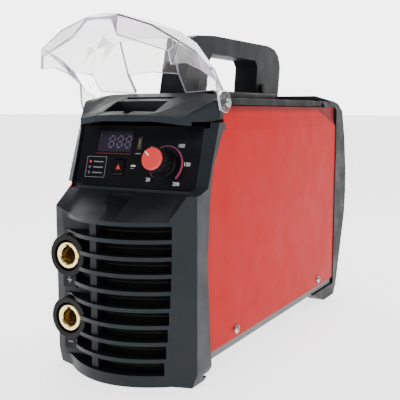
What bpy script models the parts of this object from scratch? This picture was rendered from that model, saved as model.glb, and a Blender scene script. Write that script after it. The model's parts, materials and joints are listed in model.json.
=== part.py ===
"""Stick welding inverter with a raised clear hood, as an assembly of separate pieces.

Sizes are millimetres until MM turns them into metres. +Z is up, the front faces -Y, and the
machine stands on z = 0. The control panel leans back about X, and all that sits on it is
placed in the panel's own frame: X across, Y up the panel, Z out of it.
"""
import math

import bmesh
import bpy
from mathutils import Matrix, Vector

MM = 0.001
GAP = 0.3
FAR = 200.0
MERGE = 0.00001
SMOOTH_BELOW = math.radians(32)

# Case: folded side sheets over a bottom tray
HALF_W = 61.0
PANEL_OUT = 59.2
SHEET = 1.2
CASE_TOP = 193.6
PANEL_LOW = 18.6
TRAY_LOW = 12.4
BEND_Z = 175.5
TOP_REAR = 115.6
LID_TOP = 199.5
SCREW_Z = 25.0
SCREW_PLACES = {"front_right": (1, -79.0), "rear_right": (1, 102.0),
                "front_left": (-1, -79.0), "rear_left": (-1, 102.0)}

# Front moulding: a grille that bows forward between two pillars
PILLAR_X = 44.0
PILLAR_Y = -148.0
CORNER_Y = -142.5
BOW = 17.5
GRILLE_WALL = 9.0
GRILLE_TOP = 103.5
GRILLE_PITCH = 11.9
SLAT = 2.8
SLOTS = 9
SLOT_LEFT = -56.0
SLOT_RIGHT = 45.0
SLOT_SLANT = 6.0
RIB = (-15.0, -9.5)
BLIND_Y = -145.9
LEDGE_LIP = 115.5
LEDGE_BACK = (-132.4, 133.0)
PILLAR_BACK = (-137.6, 134.0)
# Front of the strips beside the panel, as (y, z), and how far back each point is at their outer edge
STRIP = [(-131.8, 137.2, 4.4), (-127.2, 151, 4.6), (-123.4, 163.5, 5.4), (-120.5, 174, 6.4),
         (-112.0, FAR, 8.0)]
# Back end of the finger notch's valley, and the angles it turns outward and falls by
NOTCH_BACK = Vector((3.0, -134.0, 124.8))
NOTCH_TURN = math.radians(8.5)
NOTCH_FALL = math.radians(19.3)

# Control panel plane: its middle, its lean back from upright, and places on it
PANEL_MID = Vector((0.0, -124.2, 154.5))
PANEL_LEAN = math.radians(16.5)
KNOB = (25.3, -2.2)
DISPLAY = (-21.5, 13.5)
BUTTON = (-14.6, -5.7)
LENS = (0.5, 13.0)

# Output sockets
SOCKET_X = -41.0
SOCKET_Z = {"positive": 85.6, "negative": 38.8}
SOCKET_FRONT = -155.0
SOCKET_SEAT = -146.6
COLLAR_R = 16.0
BRASS_R = 10.2
BORE_R = 6.5

# Hood hinge
HINGE_Y = -100.0
HINGE_Z = 195.5
HOOD_WALL = 1.8
WALL_SIDE = -1

# Fan, power switch and mains gland on the back
BACK_Y = 164.0
FAN_Z = 72.0
FAN_R = 38.0
FAN_SCREW = 35.75
SWITCH = (30.0, 152.0)
ROCKER_Y = 161.0
GLAND = (-30.0, 150.0)

# The middle of the footprint lies this far behind y = 0 of the measures in this file
FOOTPRINT_Y = 4.75

PARTS = bpy.data.collections.new("stick_welding_inverter")
CUTTERS = bpy.data.collections.new("cutters")
LOOKS = {}

# Turns that lay an object's own Z along a world axis, for turned shapes
AXIS_TURN = {"X": Matrix.Rotation(math.pi / 2, 4, "Y"), "Y": Matrix.Rotation(-math.pi / 2, 4, "X"),
             "Z": Matrix.Identity(4)}
# Turns for outlines: the outline's two axes are (Y, Z), (X, Z) or (X, Y)
OUTLINE_TURN = {"X": Matrix(((0, 0, 1, 0), (1, 0, 0, 0), (0, 1, 0, 0), (0, 0, 0, 1))),
                "Y": Matrix.Rotation(math.pi / 2, 4, "X"), "Z": Matrix.Identity(4)}
AXIS = {"X": Vector((1, 0, 0)), "Y": Vector((0, 1, 0)), "Z": Vector((0, 0, 1))}


# ---------------------------------------------------------------- tools

def look(name, colour, rough, metal=0.0):
    """Define the colour, roughness and metallic value that sub-parts are made with."""
    LOOKS[name] = (colour, rough, metal)


def own_material(name, look_name):
    colour, rough, metal = LOOKS[look_name]
    material = bpy.data.materials.new(name)
    material.use_nodes = True
    shader = material.node_tree.nodes["Principled BSDF"]
    shader.inputs["Base Color"].default_value = (*colour, 1.0)
    shader.inputs["Roughness"].default_value = rough
    shader.inputs["Metallic"].default_value = metal
    return material


def place(name, data, look_name=None, parent=None, basis=Matrix.Identity(4)):
    """Link a mesh as a sub-part when it has a look, and as a cutter when it has none."""
    obj = bpy.data.objects.new(name, data)
    obj.parent = parent or MACHINE
    obj.matrix_basis = basis
    if look_name:
        data.materials.append(own_material(name, look_name))
        PARTS.objects.link(obj)
    else:
        obj.hide_render = True
        obj.display_type = "WIRE"
        CUTTERS.objects.link(obj)
    return obj


def to_mesh(shape, name):
    """Close a bmesh into a mesh whose faces point out and whose round sides are smooth."""
    bmesh.ops.recalc_face_normals(shape, faces=shape.faces)
    data = bpy.data.meshes.new(name)
    shape.to_mesh(data)
    shape.free()
    data.shade_smooth()
    data.set_sharp_from_angle(angle=SMOOTH_BELOW)
    return data


def baked(draft, name):
    """Mesh of a draft curve or Screw shape as it evaluates, welded. The draft is removed."""
    bpy.context.view_layer.update()
    evaluated = draft.evaluated_get(bpy.context.evaluated_depsgraph_get())
    raw = bpy.data.meshes.new_from_object(evaluated)
    shape = bmesh.new()
    shape.from_mesh(raw)
    bmesh.ops.remove_doubles(shape, verts=shape.verts, dist=MERGE)
    bpy.data.objects.remove(draft)
    bpy.data.meshes.remove(raw)
    return to_mesh(shape, name)


def block(name, low, high, look_name=None, parent=None):
    low, high = Vector(low) * MM, Vector(high) * MM
    shape = bmesh.new()
    bmesh.ops.create_cube(shape, size=1.0)
    bmesh.ops.scale(shape, vec=high - low, verts=shape.verts)
    return place(name, to_mesh(shape, name), look_name, parent, Matrix.Translation((low + high) / 2))


def mirrored_block(name, side, low, high, look_name=None):
    """Block given for the right side, put on the side asked for: 1 is right and -1 is left."""
    xs = sorted((side * low[0], side * high[0]))
    return block(name, (xs[0], *low[1:]), (xs[1], *high[1:]), look_name)


def rod(name, radius, axis, low, high, at, look_name=None, parent=None, sides=16):
    """Cylinder along an axis, from low to high on it. The point fixes the other two axes."""
    shape = bmesh.new()
    bmesh.ops.create_cone(shape, cap_ends=True, segments=sides, radius1=radius * MM,
                          radius2=radius * MM, depth=abs(high - low) * MM)
    middle = Vector(at) + AXIS[axis] * (low + high) / 2
    basis = Matrix.Translation(middle * MM) @ AXIS_TURN[axis]
    return place(name, to_mesh(shape, name), look_name, parent, basis)


def turned(name, profile, axis, at, look_name=None, parent=None, steps=24):
    """Turn an outline of (radius, height) about an axis. It is open where it meets the axis."""
    shape = bmesh.new()
    corners = [shape.verts.new((radius * MM, 0, height * MM)) for radius, height in profile]
    chain = corners if profile[0][0] == 0 else corners + corners[:1]
    for one, two in zip(chain, chain[1:]):
        shape.edges.new((one, two))
    data = bpy.data.meshes.new(name)
    shape.to_mesh(data)
    shape.free()
    draft = place(name + "_profile", data)
    screw = draft.modifiers.new("turn", "SCREW")
    screw.steps = steps
    screw.render_steps = steps
    screw.use_merge_vertices = True
    screw.merge_threshold = MERGE
    basis = Matrix.Translation(Vector(at) * MM) @ AXIS_TURN[axis]
    return place(name, baked(draft, name), look_name, parent, basis)


def prism(name, outline, axis, low, high, look_name=None, parent=None):
    """Extrude a flat outline along an axis. The outline is given in the other two axes."""
    curve = bpy.data.curves.new(name, "CURVE")
    curve.dimensions = "2D"
    curve.fill_mode = "BOTH"
    curve.extrude = (high - low) / 2 * MM
    spline = curve.splines.new("POLY")
    spline.points.add(len(outline) - 1)
    for point, (u, v) in zip(spline.points, outline):
        point.co = (u * MM, v * MM, 0, 1)
    spline.use_cyclic_u = True
    draft = place_draft(name + "_outline", curve)
    basis = Matrix.Translation(AXIS[axis] * (low + high) / 2 * MM) @ OUTLINE_TURN[axis]
    return place(name, baked(draft, name), look_name, parent, basis)


def place_draft(name, curve):
    draft = bpy.data.objects.new(name, curve)
    CUTTERS.objects.link(draft)
    return draft


def loft(name, sections, look_name=None):
    """Skin unlike outlines in (Y, Z) that stand at a row of x places, and close both ends."""
    shape = bmesh.new()
    rings = [[shape.verts.new((x * MM, y * MM, z * MM)) for y, z in ring] for x, ring in sections]
    for one, two in zip(rings, rings[1:]):
        for i in range(len(one)):
            j = (i + 1) % len(one)
            shape.faces.new((one[i], one[j], two[j], two[i]))
    shape.faces.new(rings[0])
    shape.faces.new(rings[-1])
    return place(name, to_mesh(shape, name), look_name)


def combine(obj, operation, *tools):
    for tool in tools:
        step = obj.modifiers.new(tool.name, "BOOLEAN")
        step.operation = operation
        step.object = tool
    return obj


def soften(obj, width, segments=1):
    bevel = obj.modifiers.new("edges", "BEVEL")
    bevel.width = width * MM
    bevel.segments = segments
    bevel.limit_method = "ANGLE"
    return obj


def middle_box(middle, half):
    (a, b), (w, h) = middle, half
    return (a - w, b - h), (a + w, b + h)


# ---------------------------------------------------------------- case

def side_panel(name, side):
    """Folded side sheet with a top flange, a rear return and a chamfered top rear corner."""
    inner = PANEL_OUT - SHEET
    top_out = PANEL_OUT - 1.0
    flange = 46.0
    front, rear = -129.0, 145.8
    section = [(PANEL_OUT, PANEL_LOW), (PANEL_OUT, BEND_Z), (top_out, CASE_TOP), (flange, CASE_TOP),
               (flange, CASE_TOP - SHEET), (top_out - SHEET, CASE_TOP - SHEET), (inner, BEND_Z),
               (inner, PANEL_LOW)]
    panel = prism(name, [(side * x, z) for x, z in section], "Y", front, rear, "red_paint")
    fold = mirrored_block(name + "_return", side, (50, rear - 1.4, PANEL_LOW),
                          (PANEL_OUT - 0.4, rear - 0.2, 190))
    front_line = [(front - 11, FAR), (front - 11, 10), (front, 10), (front, 128), (-111.5, 176),
                  (-101.2, 181), (-100.6, 184), (-100.6, FAR)]
    rear_line = [(127.4, FAR), (127.4, 194.2), (146.4, 173), (160, 173), (160, FAR)]
    room = mirrored_block(name + "_brow_room", side, (30, -110, 178), (57.6, -90.8, FAR))
    low, high = sorted((40 * side, 70 * side))
    gusset = mirrored_block(name + "_gusset", side, (55.8, 121, 164), (57.6, rear - 0.8, 192.9))
    corner = sorted((side * 57.3, side * 70))
    combine(panel, "UNION", fold, gusset)
    combine(panel, "DIFFERENCE", prism(name + "_front", front_line, "X", low, high),
            prism(name + "_corner", rear_line, "X", *corner), room)
    for key, (hand, y) in SCREW_PLACES.items():
        if hand == side:
            combine(panel, "DIFFERENCE",
                    rod("side_hole_" + key, 1.9, "X", low, high, (0, y, SCREW_Z)))


def base_tray():
    out = PANEL_OUT - SHEET - GAP
    lip = 33.0
    section = [(-out, TRAY_LOW), (out, TRAY_LOW), (out, lip), (out - SHEET, lip),
               (out - SHEET, TRAY_LOW + SHEET), (SHEET - out, TRAY_LOW + SHEET),
               (SHEET - out, lip), (-out, lip)]
    tray = prism("base_tray", section, "Y", -126.0, 143.5, "grey_paint")
    for key, (hand, y) in SCREW_PLACES.items():
        low, high = sorted((40 * hand, 70 * hand))
        combine(tray, "DIFFERENCE", rod("tray_hole_" + key, 1.9, "X", low, high, (0, y, SCREW_Z)))


def top_cover():
    """Black lid between the two side sheets, behind the brow and ahead of the rear moulding."""
    section = [(56.2, 194.0), (55.2, LID_TOP), (-55.2, LID_TOP), (-56.2, 194.0), (-54.0, 194.0),
               (-53.4, 197.2), (53.4, 197.2), (54.0, 194.0)]
    prism("top_cover", section, "Y", -90.5, TOP_REAR, "black_plastic")


def side_screws():
    """Pan-head screws with a cross recess. The profile's heights run out of the case."""
    head = [(0, 2.4), (1.8, 2.3), (3.4, 1.2), (3.6, GAP), (1.6, GAP), (1.6, -6), (0, -6)]
    for key, (hand, y) in SCREW_PLACES.items():
        profile = [(radius, height * hand) for radius, height in head]
        at = (PANEL_OUT * hand, y, SCREW_Z)
        screw = turned("side_screw_" + key, profile, "X", at, "steel", steps=16)
        for turn, (wide, tall) in enumerate(((0.45, 2.2), (2.2, 0.45))):
            slot = mirrored_block("recess_%s_%d" % (key, turn), hand,
                                  (PANEL_OUT + 1.5, y - wide, SCREW_Z - tall),
                                  (PANEL_OUT + 4, y + wide, SCREW_Z + tall))
            combine(screw, "DIFFERENCE", slot)


# ---------------------------------------------------------------- front moulding

def bow_y(x):
    """Front of the grille and pillars, seen from above."""
    if abs(x) > PILLAR_X:
        share = (abs(x) - PILLAR_X) / (HALF_W - PILLAR_X)
        return PILLAR_Y + share * (CORNER_Y - PILLAR_Y)
    return PILLAR_Y - BOW * (1 - (x / PILLAR_X) ** 2)


def bow_line(start, end, steps, inset=0.0):
    xs = [start + (end - start) * i / steps for i in range(steps + 1)]
    return [(x, bow_y(x) + inset) for x in xs]


def ledge_lip(x):
    """Height of the ledge's front lip: level over the grille, and rising over the pillars.

    The right pillar stands full height beside the ledge, and the left one is cut down to it.
    """
    rise = max(0.0, abs(x) - PILLAR_X + 2.0)
    return min(PILLAR_BACK[1] - 0.6, LEDGE_LIP + (1.45 if x > 0 else 0.24) * rise)


def ledge_back(x):
    """Back edge of the ledge, or of the pillar's top beyond it."""
    if x > 54.5:
        return PILLAR_BACK
    share = max(0.0, (-46.0 - x) / (HALF_W - 46.0))
    return LEDGE_BACK[0] + 10.5 * share, LEDGE_BACK[1] + 3.0 * share


def ledge_space():
    """The space above the sloping ledge and ahead of the panel and its side pillars."""
    sections = []
    edges = [HALF_W + 9, HALF_W, 58, 54.9, 54.3, 49, 46, PILLAR_X - 2]
    inner = [(PILLAR_X - 2) * (1 - i / 9) for i in range(1, 9)]
    xs = [-x for x in edges + inner] + [0.0] + (edges + inner)[::-1]
    for x in xs:
        reach = math.copysign(min(abs(x), HALF_W), x)
        lip = ledge_lip(reach)
        side = max(0.0, (abs(reach) - 54.1) / (HALF_W - 54.1))
        strip = [(y + back * side, z) for y, z, back in STRIP]
        front, back = Vector((bow_y(reach), lip)), Vector(ledge_back(reach))
        slope = [tuple(front.lerp(back, share)) for share in (0.0, 0.25, 0.5, 0.75, 1.0)]
        sections.append((x, [(-190, lip), *slope, *strip, (-190, FAR)]))
    return loft("ledge_space", sections)


def slot_right(z):
    """Right end of a grille slot: lower slots end further in."""
    drop = (GRILLE_TOP + GRILLE_PITCH / 2 - z) / (GRILLE_PITCH * SLOTS)
    return SLOT_RIGHT - SLOT_SLANT * max(0.0, drop) ** 2


def front_bezel():
    """Grille, pillars, ledge and the wall behind the control panel, in one moulding."""
    rear = -90
    plan = [(-HALF_W, rear)] + bow_line(-HALF_W, -PILLAR_X, 1) + bow_line(-PILLAR_X, PILLAR_X, 18)[1:]
    plan += [(HALF_W, bow_y(HALF_W)), (HALF_W, rear)]
    bezel = prism("front_bezel", plan, "Z", 0, 182, "charcoal")
    side = [(-190, 0), (-190, 182), (-104, 182), (-101, 181), (-101, 177.4), (-105.7, 175.4),
            (-111, 166), (-119, 152), (-122.6, 139), (-125.3, 115), (-127.5, 87), (-125.5, 58),
            (-122.5, 19), (-121.5, 9), (-126, 0)]
    front = [(-70, 190), (-70, 10), (-HALF_W, 10), (-57.5, 0), (57.5, 0), (HALF_W, 10), (70, 10),
             (70, 190)]
    combine(bezel, "INTERSECT", prism("bezel_side", side, "X", -80, 80),
            prism("bezel_front", front, "Y", -FAR, -60))

    socket_side = -23.0
    low_room = [(59.6, -131), (59.6, -80), (-59.6, -80), (-59.6, -131), (-57.5, -133),
                (-57.5, -137), (socket_side, -139.5)]
    low_room += [(socket_side, bow_y(socket_side) + GRILLE_WALL)] + bow_line(-18, 40, 8, GRILLE_WALL)
    low_room += [(57.5, -136.5), (57.5, -133)]
    panel_room = [(-127.5, 120), (-127.5, 128), (-110.5, 187), (-80, 187), (-80, 120)]
    skirt_room = [(-130, 112), (-130, 128), (-113, 176), (-101, 183), (-80, 187), (-80, 112)]
    recess = block("panel_recess", (-53.6, -21.0, -1.5), (53.6, 60, 60), parent=PANEL_FRAME)
    top = block("bezel_top_space", (-56.5, -140, 178), (56.5, -80, FAR))
    notch = prism("ledge_notch", [(-20, 5.6), (0, 0), (3, 12), (-20, 12)], "Y", -32, 1.5)
    notch.matrix_basis = Matrix.Translation(NOTCH_BACK * MM) @ \
        Matrix.Rotation(NOTCH_TURN, 4, "Z") @ Matrix.Rotation(NOTCH_FALL, 4, "X") @ notch.matrix_basis
    combine(bezel, "DIFFERENCE", prism("bezel_low_room", low_room, "Z", 3, 113.2),
            prism("bezel_panel_room", panel_room, "X", -56.5, 56.5),
            prism("bezel_skirt_room", skirt_room, "X", -59.6, 59.6), ledge_space(), recess, top, notch)

    for i in range(SLOTS):
        low = GRILLE_TOP - GRILLE_PITCH * i
        right = slot_right(low + GRILLE_PITCH / 2)
        rib_y = bow_y(RIB[1]) + 3.5
        outline = [(SLOT_LEFT, -185), (right, -185), (right - 1, -125), (RIB[1], -125),
                   (RIB[1], rib_y), (RIB[0], rib_y), (RIB[0], BLIND_Y), (SLOT_LEFT, BLIND_Y)]
        combine(bezel, "DIFFERENCE",
                prism("grille_slot_%d" % (i + 1), outline, "Z", low, low + GRILLE_PITCH - SLAT))

    for name, z in SOCKET_Z.items():
        at = (SOCKET_X, 0, z)
        combine(bezel, "DIFFERENCE",
                rod(name + "_seat", COLLAR_R + GAP, "Y", -190, SOCKET_SEAT, at, sides=28),
                rod(name + "_bore", COLLAR_R - 3.2, "Y", -160, -120, at, sides=24),
                block(name + "_tab_room", (SOCKET_X - 6.4, -190, z - 24.4),
                      (SOCKET_X + 6.4, -149, z - 10)))

    for name, middle, half in (("display", DISPLAY, (16.0, 8.2)), ("button", BUTTON, (5.6, 6.6)),
                               ("lens", LENS, (2.8, 5.3))):
        low, high = middle_box(middle, half)
        combine(bezel, "DIFFERENCE",
                block(name + "_cut", (*low, -12), (*high, 12), parent=PANEL_FRAME))
    combine(bezel, "DIFFERENCE", rod("knob_cut", 4.0, "Z", -12, 12, (*KNOB, 0), parent=PANEL_FRAME))


def brow_cap():
    """Cap over the panel: two raised pads, a pocket between them and a finger notch in front."""
    low, rear = 178.6, -91.2
    # x, front y, lip z, front top z, crest y and z, rear z
    half = [(59.0, -106.0, 184.8, 196.6, -105.0, 198.0, 199.4),
            (56.4, -111.5, 182.6, 194.8, -110.5, 197.4, 200.6),
            (54.0, -116.2, 179.0, 192.0, -115.0, 195.4, 201.2),
            (43.0, -133.6, 180.4, 184.8, -131.8, 186.2, 202.6),
            (26.0, -138.6, 182.6, 186.8, -134.0, 189.2, 203.2),
            (13.0, -140.0, 183.0, 187.3, -134.4, 189.4, 203.2)]
    middle = (0.0, -140.5, 183.2, 187.5, -134.5, 189.5, 203.2)
    rows = [(-row[0], *row[1:]) for row in half] + [middle] + half[::-1]
    sections = []
    for x, front_y, lip, top, crest_y, crest, back in rows:
        base = lip if abs(x) > 55 else low
        inside = min(front_y + 15, -104.0)
        sections.append((x, [(front_y, lip), (front_y, top), (crest_y, crest), (-95, back),
                             (rear, back - 1.2), (rear, base), (inside, base), (inside, lip)]))
    cap = loft("brow_cap", sections, "charcoal")
    pocket = prism("cap_pocket", [(-25, -112), (-22.5, -133.5), (22, -133.5), (20, -112)], "Z",
                   184.5, 220)
    slot = prism("cap_slot", [(-22, -103), (-20, -107.5), (20, -107.5), (22, -103)], "Z", 197, 220)
    notch = rod("cap_notch", 4.2, "Y", -150, -132, (0, 0, 191.5))
    room = block("cap_room", (-57.0, -126.5, 170), (57.0, -80, 182.5))
    high_room = block("cap_high_room", (-52, -98, 175), (52, -80, 194.5))
    combine(cap, "DIFFERENCE", room, high_room, pocket, slot, notch)
    for side, name in ((1, "right"), (-1, "left")):
        low_x, high_x = sorted((44 * side, 70 * side))
        combine(cap, "DIFFERENCE",
                mirrored_block("cap_sheet_room_" + name, side, (57.3, -100.9, 170), (70, -80, FAR)),
                rod("cap_pin_hole_" + name, 2.0, "X", low_x, high_x, (0, HINGE_Y, HINGE_Z), sides=12))


def control_panel():
    """Overlay, window, lens and button, and behind them the display, switch and board."""
    outline = [(-53, 26), (-53, -17), (-44, -20), (44, -20), (53, -17), (53, 26)]
    panel = prism("control_panel", outline, "Z", -1.2, 0, "gloss_black", PANEL_FRAME)
    for name, middle, half in (("display", DISPLAY, (15.6, 7.8)), ("button", BUTTON, (5.3, 6.3)),
                               ("lens", LENS, (2.5, 5.0))):
        low, high = middle_box(middle, half)
        combine(panel, "DIFFERENCE",
                block(name + "_opening", (*low, -12), (*high, 12), parent=PANEL_FRAME))
    combine(panel, "DIFFERENCE",
            rod("knob_opening", 3.9, "Z", -12, 12, (*KNOB, 0), parent=PANEL_FRAME))

    low, high = middle_box(DISPLAY, (15.2, 7.4))
    block("display_window", (*low, -1.2), (*high, -0.2), "smoke", PANEL_FRAME)
    low, high = middle_box(DISPLAY, (15.0, 7.2))
    block("display_module", (*low, -11.6), (*high, -1.7), "gloss_black", PANEL_FRAME)
    low, high = middle_box(LENS, (2.1, 4.6))
    block("warning_lens", (*low, -3.6), (*high, -0.1), "lens", PANEL_FRAME)
    low, high = middle_box(BUTTON, (3, 3))
    block("button_switch", (*low, -11.6), (*high, -6.3), "steel", PANEL_FRAME)
    block("control_board", (-50, -19, -13.6), (50, 23, -12.0), "green_board", PANEL_FRAME)
    low, high = middle_box(BUTTON, (4.9, 5.9))
    soften(block("mode_button", (*low, -5.5), (*high, 0.9), "gloss_black", PANEL_FRAME), 0.6)


def knob():
    """The knob, its cap and the potentiometer, all on one axis out of the panel."""
    at = (*KNOB, 0)
    body = [(3.3, 0.5), (9.6, 0.5), (9.6, 2.2), (8.6, 3.4), (8.1, 17.2), (3.3, 17.2)]
    turned("knob_body", body, "Z", at, "black_plastic", PANEL_FRAME, 32)
    cap = [(0, 17.5), (8.0, 17.5), (8.1, 18.9), (7.5, 19.6), (0, 19.9)]
    turned("knob_cap", cap, "Z", at, "red_plastic", PANEL_FRAME, 32)
    rod("potentiometer_shaft", 3.0, "Z", -1.1, 16.6, at, "steel", PANEL_FRAME)
    case = [(0, -11.7), (8.0, -11.7), (8.0, -5.0), (3.6, -5.0), (3.6, -1.5), (0, -1.5)]
    turned("potentiometer_body", case, "Z", at, "steel", PANEL_FRAME, 20)


# ---------------------------------------------------------------- output sockets

def socket(name, z):
    """One bayonet socket: collar with a label tab, brass body, nut and bus bar behind."""
    at = (SOCKET_X, 0, z)
    front, seat = SOCKET_FRONT, SOCKET_SEAT - GAP
    ring = [(11.6, front), (COLLAR_R - 0.8, front), (COLLAR_R, front + 1.2), (COLLAR_R, seat),
            (12.5, seat), (12.5, -138), (10.6, -138), (10.6, front + 6), (11.6, front + 5)]
    collar = turned(name + "_collar", ring, "Y", at, "black_plastic", steps=32)
    combine(collar, "UNION", block(name + "_tab", (SOCKET_X - 6, -152.5, z - 24),
                                   (SOCKET_X + 6, -149.5, z - 13)))
    body = [(0, -136.5), (6.0, -136.5), (BORE_R, -137.0), (BORE_R, front + 1.6),
            (7.4, front + 0.7), (9.4, front + 0.7), (BRASS_R, front + 1.6), (BRASS_R, -133),
            (6.0, -133), (6.0, -112), (0, -112)]
    insert = turned(name + "_insert", body, "Y", at, "brass", steps=28)
    combine(insert, "DIFFERENCE", block(name + "_keyway", (SOCKET_X - 1.6, front - 4, z + 4),
                                        (SOCKET_X + 1.6, -140, z + 8.2)))
    nut = [(7.3, -131.5), (11.5, -131.5), (11.5, -125.5), (7.3, -125.5)]
    turned(name + "_nut", nut, "Y", at, "brass", steps=6)
    strip = [(-125.0, z + 9), (-122.0, z + 9), (-122.0, z - 8), (-100, z - 8), (-100, z - 11),
             (-125.0, z - 11)]
    bar = prism(name + "_busbar", strip, "X", SOCKET_X - 9, SOCKET_X + 9, "copper")
    combine(bar, "DIFFERENCE", rod(name + "_bar_hole", 6.4, "Y", -130, -110, at))


# ---------------------------------------------------------------- hood

def clear_cover():
    """Raised hood: a bowed front, two cheeks that end in hinge plates, and two rear lobes.

    Half of it is an open surface, mirrored and then given its wall. The names run from the
    front edge (a) over the crest (b), the top (c) and the bend (d) to the lobes (e, f).
    """
    points = {
        "a0": (0, -167, 251.3), "a1": (10.4, -167, 250.8), "a2": (18, -172, 239.3),
        "a3": (52.3, -164, 227.8), "a4": (54.2, -162.5, 219),
        "b0": (0, -161, 254.3), "b1": (12, -161, 253.5), "b2": (37, -160, 245.5),
        "b3": (57.2, -157.5, 234), "c0": (0, -130, 253), "c1": (20, -130, 251.5),
        "c2": (42, -132, 243), "c3": (58.2, -139, 229), "d0": (0, -111, 243),
        "d1": (22, -111, 242), "d2": (44, -113, 236.5), "d3": (59, -122, 219.5),
        "e0": (0, -102.5, 219), "e1": (22, -100.5, 217.5), "e2": (54, -104, 218.5),
        "f1": (22.5, -90.5, 204.5), "f2": (54, -92.5, 206), "g1": (55.6, -148, 221),
        "g2": (57, -130, 217.5), "g3": (60, -113, 210.5), "h1": (61.2, -106, 205.5),
        "p1": (61.2, -96, 202.5), "p2": (61.2, -93.4, 198), "p3": (61.2, -93.4, 192.5),
        "p4": (61.2, -100, 188.6), "p5": (61.2, -108.5, 190.6), "p6": (61.2, -110.5, 196)}
    faces = ("a0 a1 b1 b0", "a1 a2 b1", "a2 b2 b1", "a2 a3 b2", "a3 b3 b2", "a3 a4 b3",
             "a4 g1 b3", "b0 b1 c1 c0", "b1 b2 c2 c1", "b2 b3 c3 c2", "c0 c1 d1 d0", "c1 c2 d2 d1",
             "c2 c3 d3 d2", "d0 d1 e1 e0", "d1 d2 e2 e1", "e1 e2 f2 f1", "d2 d3 e2",
             "b3 g1 g2 c3", "c3 g2 g3 d3", "d3 g3 h1", "g3 p6 h1", "h1 p6 p5 p4 p3 p2 p1")
    shape = bmesh.new()
    hinge = Vector((0, HINGE_Y, HINGE_Z))
    corners = {key: shape.verts.new((Vector(at) - hinge) * MM) for key, at in points.items()}
    for face in faces:
        shape.faces.new([corners[key] for key in face.split()])
    data = to_mesh(shape, "clear_cover")
    hood = place("clear_cover", data, "clear_plastic", basis=Matrix.Translation(hinge * MM))
    mirror = hood.modifiers.new("other_half", "MIRROR")
    mirror.merge_threshold = MERGE
    wall = hood.modifiers.new("wall", "SOLIDIFY")
    wall.thickness = HOOD_WALL * MM
    wall.offset = WALL_SIDE
    for side, name in ((1, "right"), (-1, "left")):
        low, high = sorted((50 * side, 70 * side))
        combine(hood, "DIFFERENCE",
                rod("hood_hole_" + name, 2.0, "X", low, high, (0, HINGE_Y, HINGE_Z), sides=12))
        pin = [(0, 46), (1.7, 46), (1.7, 61.6), (3.4, 61.6), (3.0, 63.0), (0, 63.0)]
        turned("hinge_pin_" + name, [(radius, side * x) for radius, x in pin], "X",
               (0, HINGE_Y, HINGE_Z), "steel", steps=12)


# ---------------------------------------------------------------- handle

def handle():
    outer = [(-76, 199.8), (-64.5, 243), (-62, 246.5), (-54, 249.3), (-25, 251.5), (84, 251.7),
             (99, 249.5), (109, 243.5), (113.5, 233), (108, 199.8)]
    hollow = [(-38.5, 190), (-38.5, 205), (-33.5, 231), (-28.5, 236.8), (54, 236.2), (59, 230.5),
              (55.5, 205), (55.5, 190)]
    bolt_z = 211.0
    grip = prism("handle", outer, "X", -11.5, 11.5, "charcoal")
    combine(grip, "DIFFERENCE", prism("finger_gap", hollow, "X", -30, 30))
    for name, y in (("front", -55), ("rear", 66)):
        at = (0, y, bolt_z)
        combine(grip, "DIFFERENCE", rod("handle_hole_" + name, 2.4, "X", -30, 30, at, sides=12))
        bolt = [(0, 15.0), (4.4, 15.0), (4.4, 11.9), (2.1, 11.9), (2.1, -10.5), (0, -10.5)]
        turned("handle_bolt_" + name, bolt, "X", at, "black_plastic", steps=12)
    soften(grip, 2.4, 2)
    base = block("handle_base", (-17.5, -38.1, LID_TOP + GAP), (17.5, 90, 206.4), "black_plastic")
    combine(base, "DIFFERENCE", block("handle_base_slot", (-11.9, 55.0, 190), (11.9, 120, 220)))


# ---------------------------------------------------------------- back

def fan_corners():
    return [(x, FAN_Z + z) for x in (-FAN_SCREW, FAN_SCREW) for z in (-FAN_SCREW, FAN_SCREW)]


def rear_bezel():
    """Rear moulding with a dished back, a foot under the case and a roof over its rear edge."""
    side = [(116, 194.0), (116, LID_TOP), (119, 204.8), (158, 198.4), (162, 197), (174, 163),
            (180.4, 129), (181.5, 108), (179.6, 84), (156, 9), (149, 0), (120, 0), (112, 3),
            (88, 12.1), (146.2, 12.1), (146.2, 194.0)]
    bezel = prism("rear_bezel", side, "X", -60, 60, "black_plastic")
    front = [(-62, -5), (62, -5), (60, 190), (50, 210), (-50, 210), (-60, 190)]
    combine(bezel, "INTERSECT", prism("rear_front", front, "Y", 40, FAR))
    under = [(100, 190), (100, 196.5), (120, 201.5), (148, 196), (150, 196), (150, 190)]
    combine(bezel, "DIFFERENCE", prism("rear_roof", under, "X", -52.5, 52.5),
            block("rear_room", (-56, 140, 14.5), (56, BACK_Y - 3, 192)),
            block("rear_dish", (-50, BACK_Y, 20), (50, FAR, 182)),
            block("rear_foot_room", (-44, 80, -5), (44, 190, 9)))
    for side_sign, name in ((1, "right"), (-1, "left")):
        wedge = [(44, 110), (70, 110), (70, 172), (60, 166)]
        combine(bezel, "DIFFERENCE", prism("rear_taper_" + name, [(side_sign * x, y) for x, y in wedge],
                                           "Z", LID_TOP, 210))
    (sx, sz), (gx, gz) = SWITCH, GLAND
    combine(bezel, "DIFFERENCE", rod("fan_opening", FAN_R, "Y", 150, 175, (0, 0, FAN_Z), sides=32),
            block("switch_opening", (sx - 14.6, 150, sz - 11.1), (sx + 14.6, 175, sz + 11.1)),
            rod("gland_opening", 9.3, "Y", 150, 175, (gx, 0, gz), sides=20))
    for i, (x, z) in enumerate(fan_corners()):
        combine(bezel, "DIFFERENCE", rod("rear_screw_hole_%d" % i, 2.3, "Y", 150, 175, (x, 0, z),
                                         sides=10))


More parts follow.
